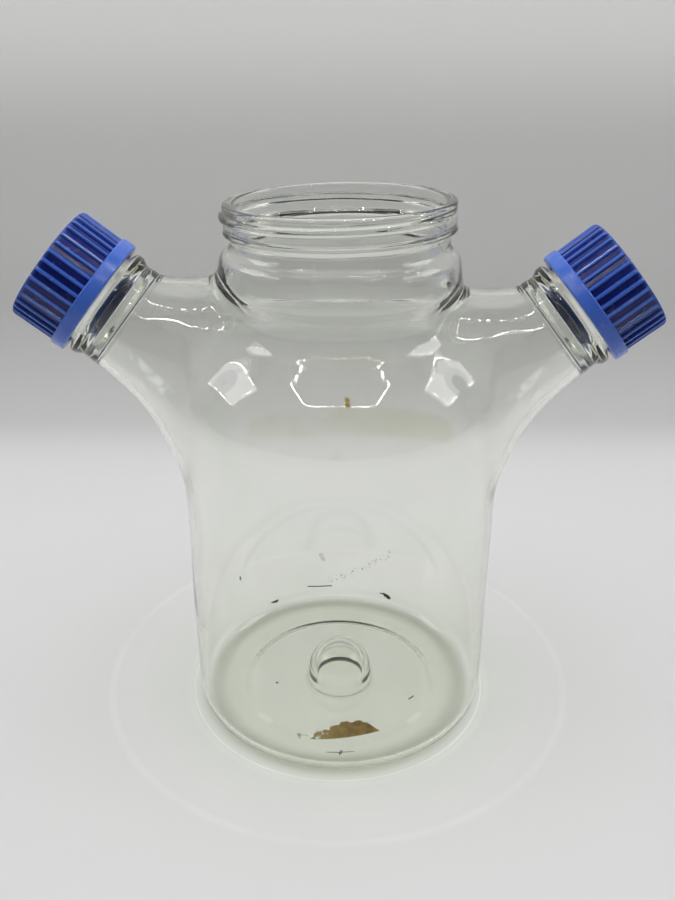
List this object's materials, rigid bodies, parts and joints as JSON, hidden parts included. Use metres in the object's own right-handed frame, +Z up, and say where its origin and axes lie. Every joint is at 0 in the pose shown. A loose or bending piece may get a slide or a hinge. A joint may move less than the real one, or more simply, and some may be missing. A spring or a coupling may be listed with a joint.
{
  "type": "spinner flask vessel",
  "caption": "Clear glass spinner flask vessel with a dimpled base, wide threaded mouth and two flared side arms closed by blue ribbed screw caps.",
  "frame": {"origin": "centre of the base, on the surface it stands on", "axes": "+Z up along the body's axis, +X towards the right-hand side arm, arms in the XZ plane"},
  "size_m": [0.279, 0.144, 0.2477],
  "materials": {
    "clear_glass": "clear borosilicate, faintly green-yellow at thick edges",
    "blue_cap": "moulded polypropylene, semi-gloss, royal blue",
    "seal": "matte off-white elastomer"
  },
  "bodies": {
    "vessel": {"vessel_body": "clear_glass", "mouth_finish": "clear_glass", "left_arm_neck": "clear_glass", "right_arm_neck": "clear_glass"},
    "left_seal": {"left_cap_liner": "seal"},
    "left_cap": {"left_cap_shell": "blue_cap"},
    "right_seal": {"right_cap_liner": "seal"},
    "right_cap": {"right_cap_shell": "blue_cap"}
  },
  "joints": [
    {"name": "left_cap_lift", "type": "slide", "parent": "vessel", "child": "left_seal", "axis": [-0.7848, 0, 0.6198], "range_m": [0, 0.0122]},
    {"name": "left_cap_turn", "type": "hinge", "parent": "left_seal", "child": "left_cap", "pos_m": [-0.11772, 0, 0.21557], "axis": [-0.7848, 0, 0.6198], "range_deg": [0, 1080]},
    {"name": "right_cap_lift", "type": "slide", "parent": "vessel", "child": "right_seal", "axis": [0.7848, 0, 0.6198], "range_m": [0, 0.0122]},
    {"name": "right_cap_turn", "type": "hinge", "parent": "right_seal", "child": "right_cap", "pos_m": [0.11772, 0, 0.21077], "axis": [0.7848, 0, 0.6198], "range_deg": [0, 1080]}
  ],
  "couplings": [
    {"joint": "left_cap_lift", "follows": "left_cap_turn", "m_per_rad": 0.00063662},
    {"joint": "right_cap_lift", "follows": "right_cap_turn", "m_per_rad": 0.00063662}
  ]
}
